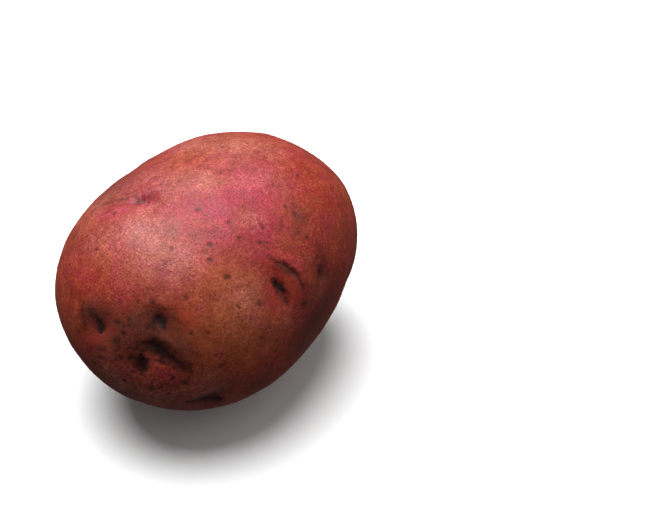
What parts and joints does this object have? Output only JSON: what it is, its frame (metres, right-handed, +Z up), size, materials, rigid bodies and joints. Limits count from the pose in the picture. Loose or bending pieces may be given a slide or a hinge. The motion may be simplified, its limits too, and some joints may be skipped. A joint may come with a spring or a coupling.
{
  "type": "potato",
  "caption": "Whole red-skinned potato, a blunt oval tuber with shallow eyes, lying on a small flat spot on its underside.",
  "frame": {"origin": "on the resting plane, under the middle of the tuber's bounding box", "axes": "+Z up from the flat resting spot, +X along the tuber from its bud end to its stem end, +Y across it"},
  "size_m": [0.093, 0.073, 0.0655],
  "materials": {
    "potato_skin": "dull, slightly waxy red-brown skin"
  },
  "bodies": {
    "root": {"potato": "potato_skin"}
  },
  "joints": []
}
